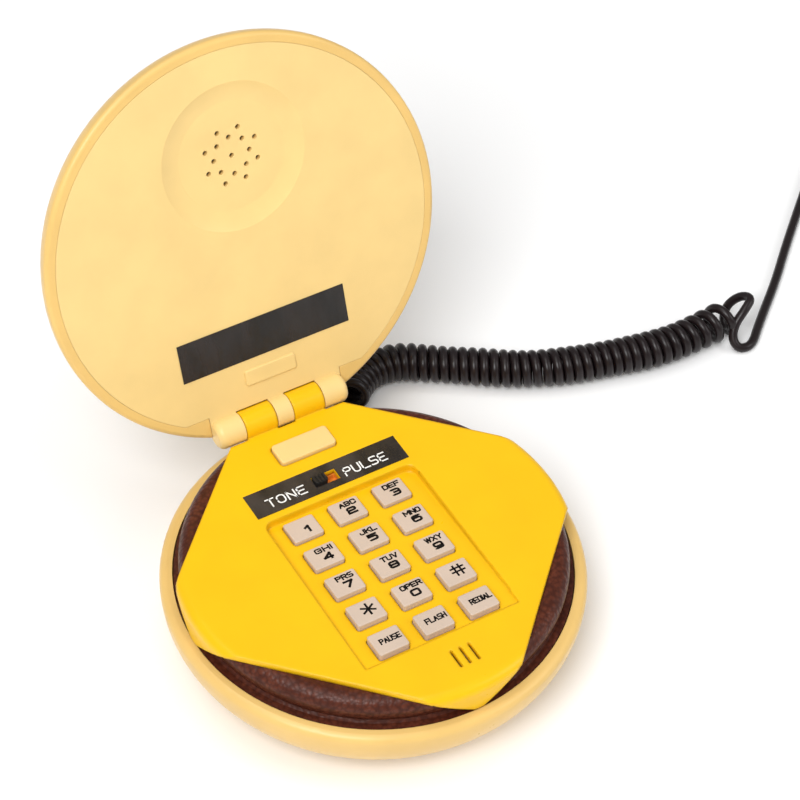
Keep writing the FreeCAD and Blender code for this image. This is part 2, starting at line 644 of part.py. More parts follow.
def sesame_seeds():
    """Small drops scattered over the crown, each cut to sit on the dome's surface."""
    high = CROWN_Z - WIDE_Z
    dome = turned(at(0, WIDE_Z), ellipse_arc(at(0, WIDE_Z), RIM_R, high, 0, 90))
    seeds = []
    for index in range(SEED_COUNT):
        angle = index * GOLDEN_DEG
        radius = SEED_SPREAD * math.sqrt((index + 0.5) / SEED_COUNT)
        slope = math.atan(high * radius / RIM_R ** 2 / math.sqrt(1 - (radius / RIM_R) ** 2))
        z = WIDE_Z + high * math.sqrt(1 - (radius / RIM_R) ** 2)
        seed = Part.makeSphere(1.0)
        seed = seed.transformGeometry(FreeCAD.Matrix(1.9, 0, 0, 0, 0, 1.2, 0, 0, 0, 0, 0.8, 0))
        seed.rotate(Vector(), Vector(0, 0, 1), 67.0 * index)
        seed.rotate(Vector(), Vector(0, 1, 0), math.degrees(slope))
        seed.translate(Vector(radius, 0, z))
        seed.rotate(Vector(), Vector(0, 0, 1), angle)
        seeds.append(seed.cut(dome))
    return Part.Compound(seeds)


# Cord

def hank():
    low, high = HANK_Z
    ring = rod((0, 0, low), HANK_R[1], high - low).cut(rod((0, 0, low), HANK_R[0], high - low))
    rims = [e for e in ring.Edges if len(e.Vertexes) == 1]
    return moved(ring.makeFillet(0.8 * WIRE_R, rims), HANK_CENTRE.x, HANK_CENTRE.y)


def line_plug():
    """A modular plug lying on the table, its cord end at the last point of the short lead."""
    body = box((-4.85, -11.7, 0), (4.85, 0, 6.6)).cut(box((-3.6, -12, 3.4), (3.6, -9.2, 7)))
    latch = side_prism([(-11.2, 6.4), (-1.6, 8.8), (-1.2, 8.2), (-10.2, 5.8)], -3.1, 3.1)
    body = body.fuse(latch).removeSplitter()
    last, before = Vector(*END_ROUTE[-1]), Vector(*END_ROUTE[-2])
    heading = math.degrees(math.atan2(last.y - before.y, last.x - before.x))
    body.rotate(Vector(), Vector(0, 0, 1), heading + 90)
    return moved(body, last.x, last.y)


def main():
    os.makedirs("parts", exist_ok=True)
    fixed = {
        "bottom_bun": bottom_bun(),
        "foot_ring": foot_ring(),
        "patty_ring": patty_ring(),
        "cheese_plate": cheese_plate(),
        "mode_label": mode_label(),
        "mode_switch_body": mode_switch_body(),
        "main_pcb": main_pcb(),
        "pcb_screws": pcb_screws(),
        "base_screws": base_screws(),
        "keypad_membrane": keypad_membrane(),
        "mic_boot": mic_boot(),
        "mic_capsule": mic_capsule(),
        "hook_switch_body": hook_switch_body(),
        "ringer_disc": ringer_disc(),
        "strain_relief": strain_relief(),
        "hinge_pin_left": hinge_pin(-1),
        "hinge_pin_right": hinge_pin(1),
        "base_leads": base_leads(),
    }
    moving = {"hook_button": hook_button(), "mode_switch_knob": mode_switch_knob()}
    for name, x, y in key_places():
        moving[f"key_{name}"] = on_keys(key_cap(), x, y)
    lid = {
        "top_bun": top_bun(),
        "lid_inner_cover": lid_inner_cover(),
        "memo_label": memo_label(),
        "earpiece_foam": earpiece_foam(),
        "earpiece_speaker": earpiece_speaker(),
        "lid_leads": lid_leads(),
        "sesame_seeds": sesame_seeds(),
    }
    cord = {
        "curly_cord": tube(CURLY_ROUTE, COIL_R, "curly_cord"),
        "line_cord": tube(TAIL_ROUTE, WIRE_R, "line_cord"),
        "line_cord_coil": hank(),
        "line_cord_end": tube(END_ROUTE, WIRE_R, "line_cord_end"),
        "line_plug": line_plug(),
    }
    for group in (fixed, moving, cord):
        for node, shape in group.items():
            save(node, shape)
    for node, shape in lid.items():
        save(node, opened(shape))


main()
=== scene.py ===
import json
import math

import bmesh
import bpy
from mathutils import Matrix, Quaternion, Vector


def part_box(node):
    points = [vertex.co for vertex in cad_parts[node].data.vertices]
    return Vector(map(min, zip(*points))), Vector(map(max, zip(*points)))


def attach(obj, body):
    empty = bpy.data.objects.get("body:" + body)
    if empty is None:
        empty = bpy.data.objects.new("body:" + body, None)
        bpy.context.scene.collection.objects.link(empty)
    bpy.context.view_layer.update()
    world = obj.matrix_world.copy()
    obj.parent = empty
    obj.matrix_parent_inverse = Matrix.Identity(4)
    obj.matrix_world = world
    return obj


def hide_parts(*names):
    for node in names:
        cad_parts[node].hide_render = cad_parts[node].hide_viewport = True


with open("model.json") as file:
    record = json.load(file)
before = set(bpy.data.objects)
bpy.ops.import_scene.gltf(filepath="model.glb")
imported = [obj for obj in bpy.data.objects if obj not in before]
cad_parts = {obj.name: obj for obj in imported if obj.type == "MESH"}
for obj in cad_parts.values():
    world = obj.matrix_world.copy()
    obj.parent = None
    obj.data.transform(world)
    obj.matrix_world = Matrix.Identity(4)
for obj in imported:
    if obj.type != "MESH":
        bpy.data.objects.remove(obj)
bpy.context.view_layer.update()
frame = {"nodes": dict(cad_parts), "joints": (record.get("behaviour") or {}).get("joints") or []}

MM = 0.001
UP = Vector((0, 0, 1))
joints = {joint["name"]: joint for joint in frame["joints"]}

# Camera: it looks down at the telephone from its front left
CAMERA_AT = Vector((-0.27250, -0.44210, 0.65821))
CAMERA_AIM = Vector((0.03541, 0.04618, 0.03429))
CAMERA_ROLL = math.radians(2.65)
CAMERA_LENS = 126.5

# Light: the even light from all round, and the power of the lamps in watts
WORLD_LIGHT = 0.36
KEY_LIGHT, FILL_LIGHT, TOP_LIGHT = 26, 8, 10

# Cord, in metres: the curly and end routes are those of the part's tubes, and the tail follows its tube
WIRE_R = 0.0015
CURLY_ROUTE = [
    (0.0277, 0.0621, 0.0120), (0.0316, 0.0709, 0.0104), (0.0378, 0.0786, 0.0079), (0.0466, 0.0840, 0.0066),
    (0.0568, 0.0832, 0.0064), (0.0662, 0.0766, 0.0064), (0.0775, 0.0692, 0.0064), (0.0900, 0.0608, 0.0064),
    (0.1040, 0.0550, 0.0064), (0.1190, 0.0510, 0.0064), (0.1340, 0.0476, 0.0064), (0.1490, 0.0474, 0.0064),
    (0.1615, 0.0486, 0.0064),
]
LAST_LOOP = [  # the end of the curls, pulled open
    (0.1626, 0.0518, 0.0026), (0.1650, 0.0536, 0.0064), (0.1686, 0.0514, 0.0108), (0.1696, 0.0472, 0.0126),
    (0.1654, 0.0450, 0.0112), (0.1610, 0.0438, 0.0076), (0.1590, 0.0416, 0.0038), (0.1597, 0.0387, 0.0017),
    (0.1630, 0.0376, 0.0016), (0.1664, 0.0394, 0.0016),
]
TAIL_ROUTE = [
    (0.1692, 0.0420, 0.0016), (0.1766, 0.0484, 0.0016), (0.1887, 0.0584, 0.0016), (0.2010, 0.0700, 0.0016),
    (0.2170, 0.0842, 0.0016), (0.2345, 0.0996, 0.0017),
]
END_ROUTE = [(0.2798, 0.0905, 0.0046), (0.2770, 0.0808, 0.0039), (0.2726, 0.0716, 0.0033)]
CURL_R = 0.00475  # helix radius, to the middle of the wire
CURL_PITCH = 0.0034
CURL_STEPS = 16  # points in a turn
CURL_OPENING, OPENING_POWER = 0.045, 20  # share of the length that the last turns take, and how late
CURL_LEAD = 0.0140  # distance along the route to the first turn
LEAD_IN = (  # the wire before the first turn: how far along, to the side and above the route
    (0, 0, 0), (0.0036, 0, 0), (0.0068, 0.0030, -0.0012), (0.0098, 0.0054, -0.0030),
    (0.0129, 0.0058, -0.0043), (0.0142, 0.0030, -0.0048),
)
CURL_SHRINK = 0.985  # a spline of order 3 runs this much inside its control points
CURL_DRIFT, DRIFT_RATE = 0.0006, 46  # how far along the turns stray, as a share of the route, and how often
CURL_WOBBLE, WOBBLE_RATE = 0.02, 32  # how much the helix radius changes, as a share of it, and how often
HANK_CENTRE = Vector((0.2620, 0.0970, 0))
HANK_R = (0.0126, 0.0189)  # innermost and outermost turn, to the middle of the wire
HANK_Z = (0.0019, 0.00495)  # lower and upper layer, to the middle of the wire
HANK_START = math.radians(125)
HANK_TURNS, HANK_PAST = 4, math.radians(145)  # whole turns, and the sweep past them
HANK_STEPS = 16  # points in a turn
TURNS_INWARD, TURNS_RISING = 2.0, 0.7  # turns of the lower layer, and of the climb to the upper one

# Cord tie, in metres: where it sits on the wound turns, its section and its corners
TIE_ANGLE = math.radians(-95)
TIE_THICK, TIE_WIDE, TIE_GAP = 0.00022, 0.0032, 0.0001
TIE_CORNER, TIE_EDGE = 0.0016, 0.00006

# Strain relief, in metres: outlines are (radius, distance from the root)
RELIEF_HEADING = math.radians(66)
RELIEF_LONG = 0.016
RELIEF_STEPS = 48
RELIEF_FLANGE = [
    (0.0, 0.0), (0.0029, 0.0), (0.0029, 0.0063), (0.0044, 0.0063), (0.0046, 0.0066), (0.0046, 0.0083),
    (0.0043, 0.0086), (0.0036, 0.0088),
]
RELIEF_TIP = [(0.0021, 0.0150), (0.0019, RELIEF_LONG), (0.0, RELIEF_LONG)]
RIB_COUNT, RIB_START, RIB_PITCH = 3, 0.0092, 0.0019
RIB_R, RIB_TAPER = 0.0034, 0.0004
RIB_OUTLINE = ((0.0, 0.0), (0.0001, 0.0011), (0.0007, 0.0012), (0.0007, 0.0017), (0.0003, 0.0018))

# Plug, in metres: x runs out of the cord's end, z up
PLUG_LOW, PLUG_HIGH, PLUG_EDGE = (0, -0.00475, 0.0001), (0.0115, 0.00475, 0.0066), 0.0005
CONTACT_COUNT, CONTACT_PITCH, CONTACT_EDGE = 4, 0.0011, 0.0001
CONTACT_X, CONTACT_Z, CONTACT_HALF = (0.0086, 0.0113), (0.0052, 0.00675), 0.0002
LATCH_LINE = ((0.0112, 0.0062), (0.0095, 0.0067), (0.0060, 0.0075), (0.0030, 0.0082), (0.0014, 0.0085))
LATCH_NECK_X, LATCH_HALF, NECK_HALF = 0.006, 0.0030, 0.0016  # the neck runs from here to the plug's nose
LATCH_THICK, LATCH_DROP, LATCH_EDGE = 0.0006, 0.0004, 0.00015


# Mesh helpers

def link(name, data):
    piece = bpy.data.objects.new(name, data)
    bpy.context.scene.collection.objects.link(piece)
    return piece


def mesh_piece(name, bm, smooth=True):
    bmesh.ops.recalc_face_normals(bm, faces=bm.faces)
    for face in bm.faces:
        face.smooth = smooth
    mesh = bpy.data.meshes.new(name)
    bm.to_mesh(mesh)
    bm.free()
    return link(name, mesh)


def add_modifier(piece, kind, **settings):
    modifier = piece.modifiers.new(kind.lower(), kind)
    for key, value in settings.items():
        setattr(modifier, key, value)


def loops_to_faces(bm, loops, close_ends=True):
    """Skins a list of closed vertex loops, one after another."""
    count = len(loops[0])
    for one, two in zip(loops, loops[1:]):
        for i in range(count):
            j = (i + 1) % count
            bm.faces.new((one[i], one[j], two[j], two[i]))
    if close_ends:
        bm.faces.new(loops[0][::-1])
        bm.faces.new(loops[-1])


def lathe(name, profile, steps, place):
    """A closed outline of (radius, height) points turned about +Z, then placed by a matrix."""
    bm = bmesh.new()
    rings = []
    for step in range(steps):
        angle = 2 * math.pi * step / steps
        rings.append([bm.verts.new((r * math.cos(angle), r * math.sin(angle), z)) for r, z in profile])
    loops_to_faces(bm, rings + rings[:1], close_ends=False)
    bmesh.ops.remove_doubles(bm, verts=bm.verts, dist=1e-7)
    bm.transform(place)
    return mesh_piece(name, bm)


def rounded_rectangle(width, depth, radius, steps=6):
    points = []
    for quarter, (sx, sy) in enumerate(((1, 1), (-1, 1), (-1, -1), (1, -1))):
        centre = Vector((sx * (width / 2 - radius), sy * (depth / 2 - radius)))
        for step in range(steps + 1):
            angle = math.pi / 2 * (quarter + step / steps)
            points.append((centre.x + radius * math.cos(angle), centre.y + radius * math.sin(angle)))
    return points


def soft_block(name, width, depth, height, edge, place):
    """A block about its own middle, with rounded corners and its top and bottom edges cut at 45 degrees."""
    bm = bmesh.new()
    loops = []
    for z, inset in ((-height / 2, edge), (edge - height / 2, 0), (height / 2 - edge, 0), (height / 2, edge)):
        radius = 0.5 * edge if inset else 1.5 * edge
        outline = rounded_rectangle(width - 2 * inset, depth - 2 * inset, radius)
        loops.append([bm.verts.new((x, y, z)) for x, y in outline])
    loops_to_faces(bm, loops)
    bm.transform(place)
    return mesh_piece(name, bm)


# Printed letters

GLYPHS = {  # strokes as points of an x and a y digit, in glyph units
    "A": "00 38 60,13 53", "B": "00 08,08 48 67 65 44 04,44 63 61 40 00", "C": "66 68 08 00 60 62",
    "D": "00 08,08 68 60 00", "E": "00 08,08 68,04 54,00 60", "F": "00 08,08 68,04 54",
    "G": "66 68 08 00 60 64 34", "H": "00 08,60 68,04 64", "I": "00 08", "J": "68 60 00 03",
    "K": "00 08,68 03,35 60", "L": "08 00,00 60", "M": "00 08,08 43,43 88,88 80", "N": "00 08,08 60,60 68",
    "O": "04 00 60 68 08 04", "P": "00 08,08 68 64 04", "R": "00 08,08 68 64 04,34 60",
    "S": "67 68 08 04 64 60 00 01", "T": "08 68,38 30", "U": "08 00 60 68", "V": "08 30,30 68",
    "W": "08 20,20 48,48 60,60 88", "X": "00 68,08 60", "Y": "08 34,68 34,34 30",
    "0": "38 08 00 60 68 38", "1": "06 38,38 30", "2": "06 08 68 64 04 00,00 60",
    "3": "07 08 68 60 00 01,24 64", "4": "50 58,58 02,02 62", "5": "68 08,08 05,05 65 60 00 01",
    "6": "67 68 08 00 60 65 05", "7": "08 68,68 20", "8": "38 08 00 60 68 38,04 64",
    "9": "01 00 60 68 08 03 63", "*": "38 30,06 62,02 66", "#": "20 28,50 58,03 73,06 76",
}
GLYPH_TALL, GLYPH_GAP = 8, 2.4
SQUARE_CORNER, ROUND_CORNER = 1.8, 3.0  # rounding of a stroke's corners, in glyph units
PRINT_THICK = 0.00002


def softened(points, rounding):
    """A stroke with its corners rounded; a corner may take a whole end leg but only half of a leg between."""
    points = [Vector((float(x), float(y))) for x, y in points]
    soft = [points[0]]
    for before, corner, after in zip(points, points[1:], points[2:]):
        back, on = before - corner, after - corner
        room_before = back.length if before == points[0] else back.length / 2
        room_after = on.length if after == points[-1] else on.length / 2
        cut = min(rounding, room_before, room_after)
        start, end = corner + back.normalized() * cut, corner + on.normalized() * cut
        for t in (0.0, 0.25, 0.5, 0.75, 1.0):
            soft.append(start.lerp(corner, t).lerp(corner.lerp(end, t), t))
    return soft + [points[-1]]


def ribbon(bm, points, half):
    """A flat stroke of even width along a line of points."""
    loops = []
    for index, point in enumerate(points):
        before, after = points[max(0, index - 1)], points[min(len(points) - 1, index + 1)]
        heading = (after - before).normalized()
        across = Vector((-heading.y, heading.x)) * half
        left, right = point + across, point - across
        loops.append([bm.verts.new((x, y, z)) for x, y, z in (
            (*left, 0), (*right, 0), (*right, PRINT_THICK), (*left, PRINT_THICK))])
    loops_to_faces(bm, loops)


def lettering(name, words, place, height, span, stroke, rounding=SQUARE_CORNER):
    """Printed words of a given height and width over all, centred on the origin of a placing matrix."""
    strokes, pen = [], 0.0
    for letter in words:
        glyph = [part.split() for part in GLYPHS[letter].split(",")]
        strokes += [[Vector((pen + spot.x, spot.y)) for spot in softened(part, rounding)] for part in glyph]
        pen += max(int(point[0]) for part in glyph for point in part) + GLYPH_GAP
    pen -= GLYPH_GAP
    high, wide = (height - stroke) / GLYPH_TALL, (span - stroke) / max(pen, 1.0)
    bm = bmesh.new()
    for points in strokes:
        spots = [Vector(((spot.x - pen / 2) * wide, (spot.y - GLYPH_TALL / 2) * high)) for spot in points]
        for spot, inner in ((0, 1), (-1, -2)):
            spots[spot] += (spots[spot] - spots[inner]).normalized() * stroke / 2
        ribbon(bm, spots, stroke / 2)
    bm.transform(place)
    return mesh_piece(name, bm, smooth=False)


# Materials

def new_material(name):
    """A material, its nodes, links and shader, and the coordinates of the piece that wears it."""
    material = bpy.data.materials.new(name)
    material.use_nodes = True
    nodes = material.node_tree.nodes
    coordinates = nodes.new("ShaderNodeTexCoord").outputs["Object"]
    return material, nodes, material.node_tree.links, nodes["Principled BSDF"], coordinates


def noise(nodes, links, coordinates, scale, detail=3.0):
    node = nodes.new("ShaderNodeTexNoise")
    node.inputs["Scale"].default_value = scale
    node.inputs["Detail"].default_value = detail
    links.new(coordinates, node.inputs["Vector"])
    return node


def ramp(nodes, links, value, stops):
    node = nodes.new("ShaderNodeValToRGB")
    elements = node.color_ramp.elements
    while len(elements) < len(stops):
        elements.new(0.5)
    for element, (place, colour) in zip(elements, stops):
        element.position = place
        element.color = (*colour, 1)
    links.new(value, node.inputs["Fac"])
    return node.outputs["Color"]


def spread(nodes, links, value, low, high):
    node = nodes.new("ShaderNodeMapRange")
    node.inputs["To Min"].default_value = low
    node.inputs["To Max"].default_value = high
    links.new(value, node.inputs["Value"])
    return node.outputs["Result"]


def bump_over(nodes, links, height, strength, distance):
    """A bump node over a height, with its normal still free."""
    node = nodes.new("ShaderNodeBump")
    node.inputs["Strength"].default_value = strength
    node.inputs["Distance"].default_value = distance
    links.new(height, node.inputs["Height"])
    return node


def blend_colours(nodes, links, factor, one, two):
    node = nodes.new("ShaderNodeMix")
    node.data_type = "RGBA"
    links.new(factor, node.inputs["Factor"])
    for socket, colour in ((node.inputs["A"], one), (node.inputs["B"], two)):
        if isinstance(colour, tuple):
            socket.default_value = (*colour, 1)
        else:
            links.new(colour, socket)
    return node.outputs["Result"]


def tone(colour, factor):
    return tuple(min(1.0, channel * factor) for channel in colour)


def edge_mask(nodes, links, radius):
    """1 along edges and 0 on flat faces, and the normal rounded over the edges."""
    bevel = nodes.new("ShaderNodeBevel")
    bevel.samples = 6
    bevel.inputs["Radius"].default_value = radius
    geometry = nodes.new("ShaderNodeNewGeometry")
    dot = nodes.new("ShaderNodeVectorMath")
    dot.operation = "DOT_PRODUCT"
    links.new(bevel.outputs["Normal"], dot.inputs[0])
    links.new(geometry.outputs["Normal"], dot.inputs[1])
    mask = nodes.new("ShaderNodeMapRange")
    mask.inputs["From Min"].default_value = 1.0
    mask.inputs["From Max"].default_value = 0.85
    links.new(dot.outputs["Value"], mask.inputs["Value"])
    return mask.outputs["Result"], bevel.outputs["Normal"]


def plastic(name, colour, rough=0.32, vary=0.04, mottle=60, grain=900, bump=0.02, edge=0.0003,
            painted_edge_highlight=1.06, gloss=0.3):
    """Moulded plastic: faint mottling, an uneven gloss, a fine skin, and a painted highlight that lightens
    the colour along its edges.
    """
    material, nodes, links, shader, coordinates = new_material(name)
    cloud = noise(nodes, links, coordinates, mottle)
    shades = [(0.3, tone(colour, 1 - vary)), (0.7, tone(colour, 1 + vary))]
    base = ramp(nodes, links, cloud.outputs["Fac"], shades)
    mask, normal = edge_mask(nodes, links, edge)
    # Painted highlight: the colour is lightened along the edges, where they would catch the light.
    base = blend_colours(nodes, links, mask, base, tone(colour, painted_edge_highlight))
    links.new(base, shader.inputs["Base Color"])
    smear = noise(nodes, links, coordinates, mottle * 2.3, 4)
    sheen = spread(nodes, links, smear.outputs["Fac"], rough * 0.8, rough * 1.2)
    links.new(sheen, shader.inputs["Roughness"])
    skin = noise(nodes, links, coordinates, grain, 2)
    pores = bump_over(nodes, links, skin.outputs["Fac"], bump, 0.0002)
    links.new(normal, pores.inputs["Normal"])
    links.new(pores.outputs["Normal"], shader.inputs["Normal"])
    shader.inputs["Specular IOR Level"].default_value = gloss
    return material


def leather(name, light, dark):
    """The patty's skin: a pebbled grain like leather, with painted shade darkening its creases."""
    material, nodes, links, shader, coordinates = new_material(name)
    warp = noise(nodes, links, coordinates, 300, 2)
    bent = nodes.new("ShaderNodeVectorMath")
    bent.operation = "MULTIPLY_ADD"
    bent.inputs[1].default_value = (0.0012, 0.0012, 0.0012)
    links.new(warp.outputs["Color"], bent.inputs[0])
    links.new(coordinates, bent.inputs[2])
    cells = nodes.new("ShaderNodeTexVoronoi")
    cells.inputs["Scale"].default_value = 750
    links.new(bent.outputs["Vector"], cells.inputs["Vector"])
    cloud = noise(nodes, links, coordinates, 90, 4)
    base = ramp(nodes, links, cloud.outputs["Fac"], [(0.3, dark), (0.7, light)])
    # Painted shade: the colour darkens in the creases between the pebbles of the grain.
    creases = ramp(nodes, links, cells.outputs["Distance"], [(0.25, (0, 0, 0)), (0.75, (1, 1, 1))])
    base = blend_colours(nodes, links, creases, base, tone(dark, 0.75))
    links.new(base, shader.inputs["Base Color"])
    links.new(spread(nodes, links, cells.outputs["Distance"], 0.26, 0.5), shader.inputs["Roughness"])
    grain = bump_over(nodes, links, cells.outputs["Distance"], 0.5, 0.0003)
    grain.invert = True
    links.new(grain.outputs["Normal"], shader.inputs["Normal"])
    shader.inputs["Specular IOR Level"].default_value = 0.2
    return material


def sticker(name, colour, wave=0.25):
    """A glossy printed label with the creases of paper glued down by hand, and streaks of painted reflection
    in its colour.
    """
    material, nodes, links, shader, coordinates = new_material(name)
    stretch = nodes.new("ShaderNodeMapping")
    stretch.inputs["Scale"].default_value = (1.0, 0.35, 0.35)
    links.new(coordinates, stretch.inputs["Vector"])
    # Painted reflection: streaks of lighter and darker colour stand in for light caught by the creases of the
    # paper.
    painted_reflection_streaks = noise(nodes, links, stretch.outputs["Vector"], 110, 5)
    base = ramp(nodes, links, painted_reflection_streaks.outputs["Fac"], [(0.4, tone(colour, 0.6)), (0.62, tone(colour, 1.9))])
    links.new(base, shader.inputs["Base Color"])
    waves = noise(nodes, links, stretch.outputs["Vector"], 240, 3)
    links.new(spread(nodes, links, waves.outputs["Fac"], 0.12, 0.34), shader.inputs["Roughness"])
    creases = bump_over(nodes, links, waves.outputs["Fac"], wave, 0.0006)
    links.new(creases.outputs["Normal"], shader.inputs["Normal"])
    shader.inputs["Specular IOR Level"].default_value = 0.4
    return material


def metal(name, colour, rough=0.3):
    material, nodes, links, shader, coordinates = new_material(name)
    scratches = noise(nodes, links, coordinates, 1500, 4)
    base = ramp(nodes, links, scratches.outputs["Fac"], [(0.3, tone(colour, 0.85)), (0.7, colour)])
    links.new(base, shader.inputs["Base Color"])
    sheen = spread(nodes, links, scratches.outputs["Fac"], rough * 0.7, rough * 1.5)
    links.new(sheen, shader.inputs["Roughness"])
    shader.inputs["Metallic"].default_value = 1.0
    return material


def clear_plastic(name):
    material, nodes, links, shader, coordinates = new_material(name)
    cloud = noise(nodes, links, coordinates, 400, 3)
    tint = ramp(nodes, links, cloud.outputs["Fac"], [(0.3, (0.85, 0.87, 0.88)), (0.7, (0.95, 0.96, 0.96))])
    links.new(tint, shader.inputs["Base Color"])
    links.new(spread(nodes, links, cloud.outputs["Fac"], 0.04, 0.12), shader.inputs["Roughness"])
    shader.inputs["Transmission Weight"].default_value = 0.9
    shader.inputs["IOR"].default_value = 1.49
    return material


MATERIALS = {
    "bun": plastic("bun_plastic", (0.76, 0.50, 0.165), rough=0.3, edge=0.0004),
    "cream": plastic("cream_plastic", (0.81, 0.585, 0.235), rough=0.34),
    # The cheese and the keys take a fainter painted edge highlight than the default.
    "cheese": plastic("cheese_plastic", (0.84, 0.485, 0.004), rough=0.3, vary=0.03, edge=0.0012,
                      painted_edge_highlight=1.03),
    "patty": leather("patty_leather", (0.115, 0.030, 0.015), (0.070, 0.015, 0.007)),
    "key": plastic("key_plastic", (0.585, 0.465, 0.375), rough=0.4, edge=0.0004, painted_edge_highlight=1.04),
    "print": plastic("black_print", (0.005, 0.004, 0.004), rough=0.6, edge=0.00005, gloss=0.15),
    "white_print": plastic("white_print", (0.85, 0.85, 0.84), rough=0.5, edge=0.00005),
    "label": sticker("black_label", (0.022, 0.018, 0.017)),
    "memo": sticker("memo_sticker", (0.010, 0.007, 0.006), wave=0.5),
    "amber": plastic("amber_plastic", (0.85, 0.30, 0.04), rough=0.4),
    "switch": plastic("switch_plastic", (0.015, 0.014, 0.014), rough=0.4),
    "cord": plastic("cord_rubber", (0.012, 0.0075, 0.008), rough=0.3, vary=0.15, mottle=140, grain=2500,
                    bump=0.05, edge=0.00005),
    "rubber": plastic("dark_rubber", (0.03, 0.028, 0.028), rough=0.65, bump=0.1),
    "board": plastic("board_green", (0.03, 0.16, 0.06), rough=0.35, vary=0.15, mottle=300),
    "membrane": plastic("membrane_rubber", (0.35, 0.35, 0.36), rough=0.6),
    "lead": plastic("lead_sleeve", (0.35, 0.34, 0.33), rough=0.5),
    "foam": plastic("foam", (0.18, 0.18, 0.18), rough=0.9, bump=0.6, grain=2500),
    "seed": plastic("seed", (0.80, 0.66, 0.42), rough=0.45, vary=0.12, mottle=500),
    "steel": metal("steel", (0.62, 0.61, 0.60)),
    "brass": metal("brass", (0.75, 0.55, 0.25)),
    "gold": metal("gold_contact", (0.90, 0.68, 0.28), rough=0.2),
    "clear": clear_plastic("clear_plastic"),
}
SLOT_FINISH = {  # the material of each slot of the CAD model
    "bun": "bun", "bun_inside": "cream", "patty": "patty", "cheese": "cheese", "key_beige": "key",
    "label_black": "label", "memo_black": "memo", "switch_amber": "amber", "switch_black": "switch",
    "board_green": "board", "screw_steel": "steel", "pin_steel": "steel", "membrane_grey": "membrane",
    "rubber_black": "rubber", "capsule_metal": "steel", "ringer_brass": "brass", "lead_grey": "lead",
    "cord_black": "cord", "foam_grey": "foam", "seed": "seed", "plug_clear": "clear",
}


def finish(piece, material, body):
    piece.data.materials.clear()
    piece.data.materials.append(MATERIALS[material])
    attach(piece, body)
    return piece


def dress_cad_nodes():
    """Gives each CAD node the finish of its material slot, and makes the hook button cream."""
    for node in frame["nodes"].values():
        for slot in node.material_slots:
            slot.material = MATERIALS[SLOT_FINISH[slot.material.name.split(".")[0]]]
    frame["nodes"]["hook_button"].material_slots[0].material = MATERIALS["cream"]


# Camera, light and floor

def add_camera():
    data = bpy.data.cameras.new("camera")
    data.lens = CAMERA_LENS
    data.sensor_width = 36
    data.clip_end = 20
    camera = link("camera", data)
    camera.location = CAMERA_AT
    camera.rotation_mode = "QUATERNION"
    aim = (CAMERA_AIM - CAMERA_AT).to_track_quat("-Z", "Y")
    camera.rotation_quaternion = aim @ Quaternion((0, 0, 1), CAMERA_ROLL)
    bpy.context.scene.camera = camera


def add_light(name, at, aim, size, power):
    data = bpy.data.lights.new(name, "AREA")
    data.size = size
    data.energy = power
    light = link(name, data)
    light.location = at
    light.rotation_mode = "QUATERNION"
    light.rotation_quaternion = (Vector(aim) - Vector(at)).to_track_quat("-Z", "Y")


def floor_paper():
    material, nodes, links, shader, coordinates = new_material("floor_paper")
    cloud = noise(nodes, links, coordinates, 8)
    shade = ramp(nodes, links, cloud.outputs["Fac"], [(0.3, (0.93, 0.93, 0.93)), (0.7, (0.95, 0.95, 0.95))])
    links.new(shade, shader.inputs["Base Color"])
    shader.inputs["Roughness"].default_value = 0.9
    shader.inputs["Specular IOR Level"].default_value = 0.1
    return material


def add_studio():
    scene = bpy.context.scene
    scene.view_settings.view_transform = "Standard"
    world = bpy.data.worlds.new("studio")
    world.use_nodes = True
    world.node_tree.nodes["Background"].inputs["Color"].default_value = (1, 1, 1, 1)
    world.node_tree.nodes["Background"].inputs["Strength"].default_value = WORLD_LIGHT
    scene.world = world
    add_light("key", (-0.9, -0.7, 1.5), (0, 0, 0.05), 0.9, KEY_LIGHT)
    add_light("fill", (1.2, -0.9, 1.1), (0.05, 0, 0.05), 1.0, FILL_LIGHT)
    add_light("top", (-0.3, 0.2, 2.0), (0.05, 0, 0), 1.2, TOP_LIGHT)
    bm = bmesh.new()
    bmesh.ops.create_grid(bm, x_segments=4, y_segments=4, size=6)
    floor = mesh_piece("floor", bm)
    floor.data.materials.append(floor_paper())


# Cord

def nurbs(name, points, radius=0.0):
    """One open spline of order 3 with the given control points."""
    curve = bpy.data.curves.new(name, "CURVE")
    curve.dimensions = "3D"
    spline = curve.splines.new("NURBS")
    spline.points.add(len(points) - 1)
    for point, place in zip(spline.points, points):
        point.co = (*place, 1)
    spline.order_u = 3
    spline.use_endpoint_u = True
    curve.resolution_u = 4
    curve.bevel_depth = radius
    curve.bevel_resolution = 4
    curve.use_fill_caps = True
    return link(name, curve)


def centre_line(points):
    """Points along the smooth spline of a route, a fraction of a millimetre apart."""
    guide = nurbs("guide", points)
    guide.data.resolution_u = 60
    bpy.context.view_layer.update()
    mesh = bpy.data.meshes.new_from_object(guide.evaluated_get(bpy.context.evaluated_depsgraph_get()))
    line = [vertex.co.copy() for vertex in mesh.vertices]
    bpy.data.objects.remove(guide)
    return line


def along(line, distance):
    """The point and heading at a distance along a line of points."""
    for one, two in zip(line, line[1:]):
        step = (two - one).length
        if distance <= step or two is line[-1]:
            return one.lerp(two, distance / step), (two - one).normalized()
        distance -= step


def beside(line, travelled, sideways, lift):
    """The point beside and above a distance along a line."""
    middle, heading = along(line, travelled)
    side = heading.cross(UP).normalized()
    return middle + side * sideways + side.cross(heading) * lift


